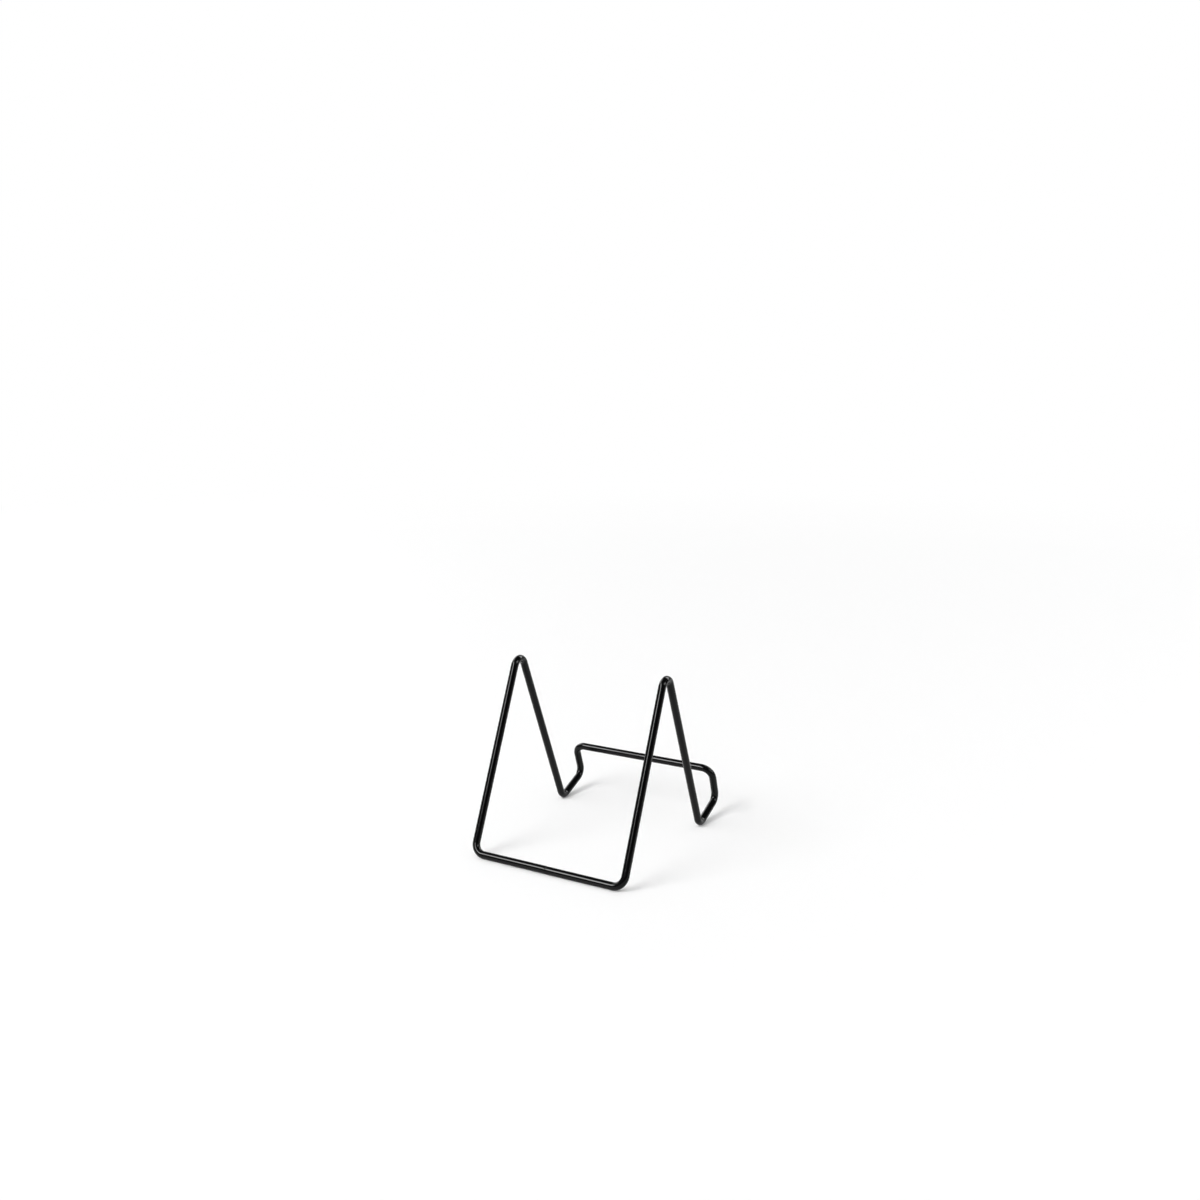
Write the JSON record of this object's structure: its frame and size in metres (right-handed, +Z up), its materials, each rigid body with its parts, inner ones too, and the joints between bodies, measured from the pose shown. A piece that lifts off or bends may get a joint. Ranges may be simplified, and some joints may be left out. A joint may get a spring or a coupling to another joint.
{
  "type": "record display stand",
  "caption": "Bent steel wire easel that shows a record in its sleeve: A-shaped sides joined by a rear foot bar and an upturned front lip, in satin black powder coat.",
  "frame": {"origin": "on the table, under the middle of the stand's outline", "axes": "+Z up, -Y towards the front, where the record faces, +X to the right as seen from the front"},
  "size_m": [0.0904, 0.1152, 0.0965],
  "materials": {
    "powder_coat": "satin black powder coat on steel wire"
  },
  "bodies": {
    "root": {"butt_weld": "powder_coat", "foot_bend_left": "powder_coat", "foot_bend_right": "powder_coat", "front_leg_left": "powder_coat", "front_leg_right": "powder_coat", "lip_arm_left": "powder_coat", "lip_arm_right": "powder_coat", "lip_bar": "powder_coat", "lip_corner_left": "powder_coat", "lip_corner_right": "powder_coat", "lip_fold_left": "powder_coat", "lip_fold_right": "powder_coat", "lip_post_left": "powder_coat", "lip_post_right": "powder_coat", "peak_bend_left": "powder_coat", "peak_bend_right": "powder_coat", "rear_corner_left": "powder_coat", "rear_corner_right": "powder_coat", "rear_foot_bar_left": "powder_coat", "rear_foot_bar_right": "powder_coat", "rear_leg_left": "powder_coat", "rear_leg_right": "powder_coat"}
  },
  "joints": []
}
